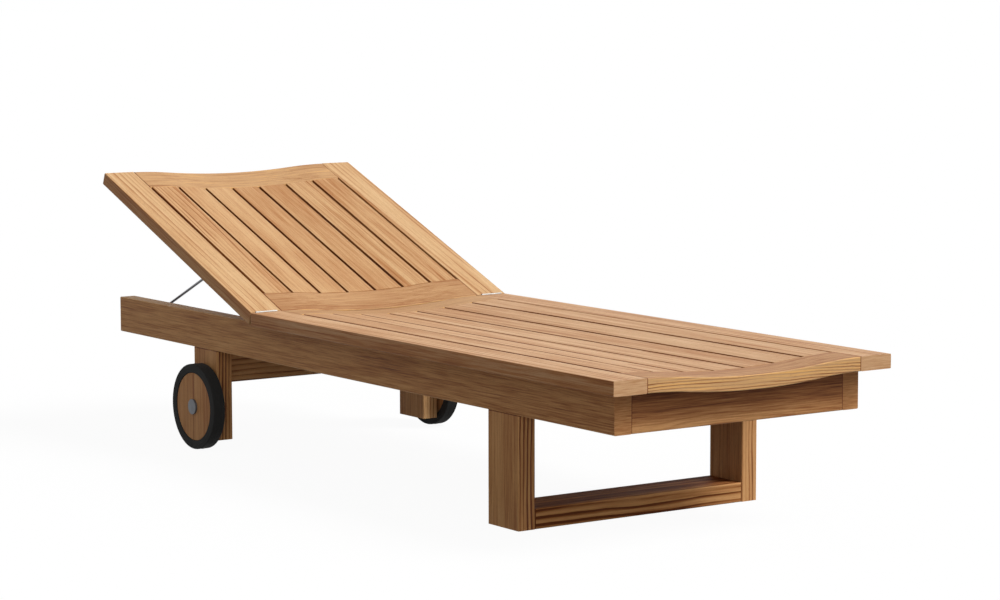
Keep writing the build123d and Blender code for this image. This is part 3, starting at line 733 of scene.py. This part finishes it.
# Where the pith of slats 1 to 7 lies, along the width and the thickness.
SLAT_PITHS = (
    (-45.0, -40.0),
    (-9.0, -82.0),
    (27.0, -54.0),
    (-36.0, -96.0),
    (0.0, -68.0),
    (36.0, -40.0),
    (-27.0, -82.0),
)
BACK_WOOD = Teak(
    pale=colour(217, 181, 135),
    middle=colour(199, 155, 108),
    brown=colour(168, 111, 62),
    dark=colour(112, 54, 10),
    fine_strength=0.42,
    fleck_strength=0.40,
    sheen=0.22,
)
# The seat's paler, pinker colours are partly its own colour and partly painted sheen, the grazing
# reflection on its top.
SEAT_WOOD = replace(BACK_WOOD, pale=colour(231, 196, 156), middle=colour(200, 156, 114))


@dataclass
class DeckPanel:
    """The seat or the backrest: two stiles, two end rails and seven slats."""

    name: str
    wood: Teak
    lean: float
    seed: float
    slats: tuple[SlatLook, ...]
    stile_tone: float
    # painted shade on the stiles' outer edges
    stile_painted_edge_shade: float
    rail_tones: tuple[float, float]
    rail_streaks: tuple[float, float] = (0.18, 0.40)
    # painted shade on the slats' sides, in the gaps between them
    slat_painted_edge_shade: float = 0.48

    RAIL_SEEDS: ClassVar[tuple[float, float]] = (5.3, 2.7)  # the first one and the step
    SLAT_SEEDS: ClassVar[tuple[float, float]] = (13.1, 3.7)

    def _stile(self) -> Teak:
        """Gives the stiles fine parallel lines on top, and a calm outer edge with painted shade.

        Returns:
            Their teak.
        """
        return replace(
            self.wood,
            tone=self.stile_tone,
            ring_spacing=8.5,
            ring_strength=0.32,
            pith_width=65.0,
            pith_depth=-60.0,
            streak_strength=0.40,
            fine_strength=0.62,
            # painted shade on the outer edges
            painted_edge_shade=self.stile_painted_edge_shade,
            edge_rings=-0.26,
        )

    def _end_rail(self, tone: float, streaks: float) -> Teak:
        """Gives an end rail a streaked top, and bold wavy lines and painted light on its edge.

        Args:
            tone: how dark it is.
            streaks: how strong its streaks are.

        Returns:
            Its teak.
        """
        return replace(
            self.wood,
            pale=colour(228, 175, 104),
            middle=colour(196, 153, 107),
            brown=colour(160, 108, 64),
            tone=tone,
            ring_spacing=6.0,
            ring_strength=0.05,
            ring_wander=26.0,
            ring_wobble=5.0,
            ring_slope=0.02,
            pith_width=-60.0,
            pith_depth=-110.0,
            streak_strength=streaks,
            fine_strength=0.50,
            cloud_strength=0.35,
            # painted light on its two long edges
            painted_edge_shade=-0.42,
            edge_rings=0.44,
            seam=270.0,
        )

    def _slat(self, look: SlatLook, pith: tuple[float, float]) -> Teak:
        """Gives a slat its own look.

        Args:
            look: what sets it apart.
            pith: where its pith lies, along its width and its thickness.

        Returns:
            Its teak.
        """
        return replace(
            self.wood,
            # painted shade on the slat's sides, in the gaps
            painted_edge_shade=self.slat_painted_edge_shade,
            tone=look.tone,
            ring_strength=look.rings,
            streak_strength=look.streaks,
            pith_width=pith[0],
            pith_depth=pith[1],
        )

    def build(self) -> None:
        """Dresses every board of the panel."""
        for index, side in enumerate(SIDES):
            node = f"{self.name}_stile_{side}"
            board(node, self._stile(), Grain.LENGTHWISE_FLAT, self.seed + index, self.lean)
        first, step = self.RAIL_SEEDS
        rails = zip(("hinge", "far"), self.rail_tones, self.rail_streaks)
        for index, (end, tone, streaks) in enumerate(rails):
            finish = self._end_rail(tone, streaks)
            seed = self.seed + first + step * index
            node = f"{self.name}_end_rail_{end}"
            board(node, finish, Grain.CROSSWISE_FLAT, seed, self.lean)
        first, step = self.SLAT_SEEDS
        for index, (look, pith) in enumerate(zip(self.slats, SLAT_PITHS)):
            seed = self.seed + first + step * index
            node = f"{self.name}_slat_{index + 1}"
            board(node, self._slat(look, pith), Grain.LENGTHWISE_FLAT, seed, self.lean)


@dataclass(frozen=True)
class LegLook:
    """What sets one leg apart: its tone, and the painted light and the rings of its edges."""

    tone: float
    painted_edge_shade: float
    edge_rings: float


@dataclass
class UnderFrame:
    """Side rails, legs, cross pieces and battens."""

    rail: Teak = Teak(
        brown=colour(167, 110, 65),
        dark=colour(100, 57, 31),
        tone=0.16,
        ring_spacing=11.0,
        ring_strength=0.08,
        streak_width=6.0,
        streak_strength=0.20,
        fine_strength=0.50,
        fleck_strength=0.95,
        cloud_strength=0.50,
        # painted light on its top and bottom faces
        painted_edge_shade=-0.85,
        end_scales=(0.02, 0.42, 0.03),
    )
    leg: Teak = Teak(
        ring_spacing=8.0,
        ring_strength=0.08,
        ring_wander=14.0,
        pith_width=-100.0,
        pith_depth=-110.0,
        streak_strength=0.30,
        fine_strength=0.44,
        fleck_strength=0.55,
    )
    front_rail: Teak = Teak(
        tone=0.31,
        ring_spacing=8.0,
        ring_strength=0.10,
        ring_wander=40.0,
        pith_width=-60.0,
        pith_depth=-40.0,
        streak_strength=0.22,
        fleck_strength=0.60,
        # painted shade under the deck's overhang, darker towards the top
        painted_shade_drift=0.005,
    )
    stretcher: Teak = Teak(
        tone=0.42,
        ring_spacing=13.0,
        ring_strength=0.10,
        ring_wander=26.0,
        ring_wobble=4.0,
        pith_width=0.0,
        pith_depth=-130.0,
        sheen=0.02,
        edge_rings=0.38,
        # painted light on its front and back faces
        painted_edge_shade=-0.32,
    )
    apron: Teak = Teak(
        tone=-0.20,
        ring_spacing=13.0,
        ring_strength=0.62,
        ring_wander=24.0,
        ring_wobble=4.0,
        pith_width=-130.0,
        pith_depth=0.0,
        streak_strength=0.40,
    )
    batten: Teak = Teak(tone=0.10, ring_strength=0.4, pith_width=-60.0)
    # the second number of each look is painted light on the leg's front and back faces
    front_legs: tuple[LegLook, ...] = (LegLook(0.12, -0.09, 0.44), LegLook(0.12, -0.16, 0.24))
    rear_legs: tuple[LegLook, ...] = (LegLook(0.12, -0.15, 0.46), LegLook(0.07, -0.45, 0.46))
    front_leg_top: float = 95.0  # from a leg's middle up to the side rail, in millimetres
    rear_leg_top: float = 83.0
    rail_inner: float = 268.0  # from a cross board's middle out to a side rail
    side_step: float = 4.1  # how much a right piece's seed is above the left one's

    def _leg(self, look: LegLook, top: float) -> Teak:
        """Gives a leg its own look.

        Args:
            look: what sets it apart.
            top: how far above its middle it enters the side rail.

        Returns:
            Its teak.
        """
        return replace(
            self.leg,
            seam=top,
            seam_one_end=True,
            tone=look.tone,
            # painted light on the front and back faces
            painted_edge_shade=look.painted_edge_shade,
            edge_rings=look.edge_rings,
        )

    def _sides(self) -> None:
        """Dresses the rails, the legs and the racks on both sides."""
        lengthwise, upright = Grain.LENGTHWISE_ON_EDGE, Grain.UPRIGHT
        for index, side in enumerate(SIDES):
            shift = self.side_step * index
            front_leg = self._leg(self.front_legs[index], self.front_leg_top)
            rear_leg = self._leg(self.rear_legs[index], self.rear_leg_top)
            board(f"side_rail_{side}", self.rail, lengthwise, seed=51.0 + shift)
            board(f"front_leg_{side}", front_leg, upright, seed=61.0 + shift)
            board(f"rear_leg_{side}", rear_leg, upright, seed=71.0 + shift)
            board(f"rack_{side}", self.rail, lengthwise, seed=81.0 + shift)

    def _crossing(self) -> None:
        """Dresses the boards that run from side to side."""
        front_rail = replace(self.front_rail, seam=self.rail_inner)
        apron = replace(self.apron, seam=self.rail_inner)
        stretcher = replace(self.stretcher, seam=self.rail_inner)
        on_edge = Grain.CROSSWISE_ON_EDGE
        board("front_rail", front_rail, on_edge, seed=91.0)
        board("rear_apron", apron, on_edge, seed=95.1)
        board("front_stretcher", stretcher, Grain.CROSSWISE_FLAT, seed=99.0)
        board("seat_batten_1", self.batten, on_edge, seed=103.0)
        board("seat_batten_2", self.batten, on_edge, seed=107.1)
        board("back_batten", self.batten, on_edge, seed=113.0, lean=LEAN)

    def build(self) -> None:
        """Dresses every board under the deck."""
        self._sides()
        self._crossing()


@dataclass
class SteelWork:
    """The bail, its saddles, the hinges and every fastener."""

    rod: Steel = Steel(shade=(0.20, 0.21, 0.23), roughness=0.34, brushed=(2.0, 0.3, 0.3))
    hinge: Steel = Steel(shade=(0.36, 0.35, 0.33), roughness=0.5)
    bright: Steel = Steel(shade=(0.42, 0.42, 0.43))

    def build(self) -> None:
        """Dresses the steel pieces."""
        dress("bail", self.rod.paint("steel_rod"))
        hinge = self.hinge.paint("steel_hinge")
        bright = self.bright.paint("steel_hardware")
        for side in SIDES:
            dress(f"seat_hinge_leaf_{side}", hinge)
            dress(f"back_hinge_leaf_{side}", hinge)
            dress(f"bail_saddle_{side}", bright)
            dress(f"axle_{side}", bright)
        for node in ("hinge_pins", "seat_hinge_screws", "back_hinge_screws"):
            dress(node, hinge)
        for node in ("frame_screws", "back_screws", "axle_nuts"):
            dress(node, bright)


def solid_of_rings(
    name: str, rings: np.ndarray, body: str, material: bpy.types.Material
) -> bpy.types.Object:
    """Joins closed rings of points into one closed piece.

    The rings are a loop that ends where it starts, and each face joins two neighbouring points of a
    ring with the same two of the next ring.

    Args:
        name: the piece's name.
        rings: places in metres, rings x points x 3; each ring closes on itself, as their loop does.
        body: the moving body that it rides on.
        material: what it is made of.

    Returns:
        The piece.
    """
    count, around = rings.shape[:2]
    index = np.arange(count * around).reshape(count, around)
    ahead = np.roll(index, -1, axis=0)
    corners = [index, np.roll(index, -1, axis=1), np.roll(ahead, -1, axis=1), ahead]
    faces = np.stack(corners, axis=-1)
    mesh = bpy.data.meshes.new(name)
    mesh.from_pydata(rings.reshape(-1, 3).tolist(), [], faces.reshape(-1, 4).tolist())
    mesh.shade_smooth()
    mesh.materials.append(material)
    piece = put(name, mesh)
    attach(piece, body)
    log.info("%s made of %d faces", name, len(mesh.polygons))
    return piece


@dataclass(frozen=True)
class Tyre:
    """A solid tyre with crisp shoulders, a mould line round its tread and a bead on each wall.

    Lengths are in metres.
    """

    side: str
    crispness: float = 14.0
    line_height: float = 0.0005
    line_width: float = 0.0008
    bead_height: float = 0.0004
    bead_width: float = 0.0012
    wall_share: float = 0.9  # how far out, as a share of the half width, the walls begin
    section_steps: int = 160
    round_steps: int = 192
    oversampling: int = 40  # how many points are walked for each one that is kept

    def _section(self, half_width: float, half_height: float) -> tuple[np.ndarray, np.ndarray]:
        """Draws the rubber's section as one closed loop of points.

        It is a squared oval: the half width and the half height times the cosine and the sine of
        an angle, whose sizes are raised to 2 / crispness, with points spread evenly along it. The
        tread side is then drawn in by the line's height but for a bell-shaped ridge at its middle,
        and each wall is pushed out by a bell-shaped ridge at mid height.

        Args:
            half_width: half its width without the beads, along the axle.
            half_height: half its height, away from the axle.

        Returns:
            The points' places along the axle and away from it, both from the section's middle.
        """
        angle = np.linspace(0.0, 2 * np.pi, self.oversampling * self.section_steps + 1)
        power = 2.0 / self.crispness
        across = half_width * np.sign(np.cos(angle)) * np.abs(np.cos(angle)) ** power
        up = half_height * np.sign(np.sin(angle)) * np.abs(np.sin(angle)) ** power
        walked = np.concatenate([[0.0], np.cumsum(np.hypot(np.diff(across), np.diff(up)))])
        even = np.linspace(0.0, walked[-1], self.section_steps, endpoint=False)
        across, up = np.interp(even, walked, across), np.interp(even, walked, up)
        line = np.exp(-((across / self.line_width) ** 2)) - 1.0
        up = up + np.where(up > 0, line * self.line_height, 0.0)
        bead = np.exp(-((up / self.bead_width) ** 2)) * self.bead_height
        on_wall = np.abs(across) > self.wall_share * half_width
        return across + np.sign(across) * np.where(on_wall, bead, 0.0), up

    def build(self, rubber: bpy.types.Material) -> None:
        """Makes the tyre in the place of its CAD node: the section carried round the axle.

        Args:
            rubber: what it is made of.
        """
        node = f"tyre_{self.side}"
        low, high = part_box(node)
        disc_low, disc_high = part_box(f"wheel_disc_{self.side}")
        centre = (low + high) / 2
        outer = (high.z - low.z) / 2
        inner = (disc_high.z - disc_low.z) / 2
        half_width = (high.x - low.x) / 2 - self.bead_height
        across, up = self._section(half_width, (outer - inner) / 2)
        turn = np.linspace(0.0, 2 * np.pi, self.round_steps, endpoint=False)[:, None]
        radius = (outer + inner) / 2 + up
        rings = np.stack(
            [
                np.broadcast_to(centre.x + across, (self.round_steps, self.section_steps)),
                centre.y + radius * np.cos(turn),
                centre.z + radius * np.sin(turn),
            ],
            axis=-1,
        )
        piece = solid_of_rings(f"rubber_tyre_{self.side}", rings, f"wheel_{self.side}", rubber)
        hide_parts(node)


WHEEL_SEEDS = (121.0, 126.0)


@dataclass
class Wheel:
    """One wheel: tyre, wooden disc, bush and cap."""

    side: str
    seed: float
    disc: Teak = Teak(
        tone=0.17,
        ring_strength=0.08,
        streak_strength=0.26,
        fine_strength=0.22,
        cloud_strength=0.45,
        glue_line=True,
    )
    cap: Steel = Steel(shade=(0.135, 0.14, 0.15), roughness=0.55, brushed=(0.4, 0.4, 0.4))

    def build(self, rubber: bpy.types.Material, nylon: bpy.types.Material) -> None:
        """Dresses the wheel.

        Args:
            rubber: the tyre's material.
            nylon: the bush's material.
        """
        Tyre(self.side).build(rubber)
        dress(f"wheel_bush_{self.side}", nylon)
        board(f"wheel_disc_{self.side}", self.disc, Grain.UPRIGHT, self.seed)
        dress(f"hub_cap_{self.side}", self.cap.paint(f"steel_cap_{self.side}"))


@dataclass(frozen=True)
class Lamp:
    """A broad far lamp; its angles are in degrees."""

    name: str
    strength: float
    height: float
    turn: float  # from the front towards the right
    softness: float = 26.0

    def build(self) -> None:
        """Hangs the lamp."""
        data = bpy.data.lights.new(self.name, "SUN")
        data.energy = self.strength
        data.angle = math.radians(self.softness)
        height, turn = math.radians(self.height), math.radians(self.turn)
        flat = math.cos(height)
        towards = Vector((math.sin(turn) * flat, -math.cos(turn) * flat, math.sin(height)))
        lamp = put(self.name, data)
        lamp.rotation_mode = "QUATERNION"
        lamp.rotation_quaternion = towards.to_track_quat("Z", "Y")


@dataclass
class Studio:
    """Camera, lamps, sky and floor."""

    camera_place: Triple = (-3.6831, -5.4646, 1.1292)  # in metres
    yaw: float = math.radians(34.783)
    pitch: float = math.radians(6.435)
    roll: float = math.radians(-0.091)
    lens: float = 106.757  # this and the sensor's width are in millimetres
    sensor: float = 36.0
    sight: float = 200.0  # how far the camera sees, in metres
    lamps: tuple[Lamp, ...] = (
        Lamp("key", strength=2.30, height=51.0, turn=44.0),
        Lamp("low_right", strength=0.95, height=30.0, turn=48.0),
        Lamp("fill_left", strength=0.50, height=30.0, turn=-30.0, softness=60.0),
    )
    sky_strength: float = 0.22
    floor_half: float = 60.0  # half the floor's width, in metres
    floor_bounce: float = 0.22
    floor_glow: float = 0.95

    def build(self) -> None:
        """Sets up the whole studio."""
        self._camera()
        for lamp in self.lamps:
            lamp.build()
        self._sky()
        self._floor()
        bpy.context.scene.view_settings.view_transform = "Standard"

    def _camera(self) -> None:
        """Stands the camera where the photograph was taken.

        It is turned by the yaw from +Y towards +X, then down by the pitch, then by the roll.
        """
        data = bpy.data.cameras.new("photo_camera")
        data.lens = self.lens
        data.sensor_width = self.sensor
        data.clip_end = self.sight
        camera = put("photo_camera", data)
        turn = (
            Matrix.Rotation(-self.yaw, 4, "Z")
            @ Matrix.Rotation(math.pi / 2 - self.pitch, 4, "X")
            @ Matrix.Rotation(self.roll, 4, "Z")
        )
        camera.matrix_world = Matrix.Translation(self.camera_place) @ turn
        bpy.context.scene.camera = camera

    def _sky(self) -> None:
        """Lays an even sky that the camera, and anything glossy, sees as white."""
        world = bpy.data.worlds.new("studio")
        tree = Tree(world)
        inputs = {"Color": WHITE, "Strength": self.sky_strength}
        dim = tree.node("ShaderNodeBackground", {}, inputs)
        white = tree.node("ShaderNodeBackground", {}, {"Color": WHITE, "Strength": 1.0})
        sky = tree.mix_shaders(tree.seen_directly(), dim, white)
        tree.node("ShaderNodeOutputWorld", {}, {"Surface": sky}, None)
        bpy.context.scene.world = world

    def _floor(self) -> None:
        """Lays a floor that looks white, keeps a soft shadow and throws little light back up."""
        half = self.floor_half
        corners = [(-half, -half, 0), (half, -half, 0), (half, half, 0), (-half, half, 0)]
        mesh = bpy.data.meshes.new("floor")
        mesh.from_pydata(corners, [], [(0, 1, 2, 3)])
        painter = Painter("floor")
        grey = opaque((self.floor_bounce,) * 3)
        bounce = painter.node("ShaderNodeBsdfDiffuse", {}, {"Color": grey})
        pale = painter.node("ShaderNodeBsdfDiffuse", {}, {"Color": WHITE})
        glow = painter.node("ShaderNodeEmission", {}, {"Color": WHITE})
        shown = painter.mix_shaders(self.floor_glow, pale, glow)
        surface = painter.mix_shaders(painter.seen_directly(), bounce, shown)
        painter.node("ShaderNodeOutputMaterial", {}, {"Surface": surface}, None)
        mesh.materials.append(painter.material)
        put("floor", mesh)


def main() -> None:
    """Builds the lounger's looks in order: decks, under-frame, steel, wheels and studio."""
    seat = DeckPanel(
        "seat",
        SEAT_WOOD,
        lean=0.0,
        seed=1.0,
        slats=SEAT_SLATS,
        stile_tone=-0.01,
        # painted shade on the stiles' outer edges
        stile_painted_edge_shade=0.28,
        rail_tones=(0.10, 0.25),
    )
    back = DeckPanel(
        "back",
        BACK_WOOD,
        lean=LEAN,
        seed=27.0,
        slats=BACK_SLATS,
        stile_tone=-0.14,
        # painted shade on the stiles' outer edges
        stile_painted_edge_shade=0.36,
        rail_tones=(0.20, 0.04),
    )
    seat.build()
    back.build()
    UnderFrame().build()
    SteelWork().build()
    rubber = Rubber().paint("tyre_rubber")
    nylon = Nylon().paint("nylon")
    for side, seed in zip(SIDES, WHEEL_SEEDS):
        Wheel(side, seed).build(rubber, nylon)
    dress("axle_spacers", nylon)
    Studio().build()


if __name__ == "__main__":
    main()
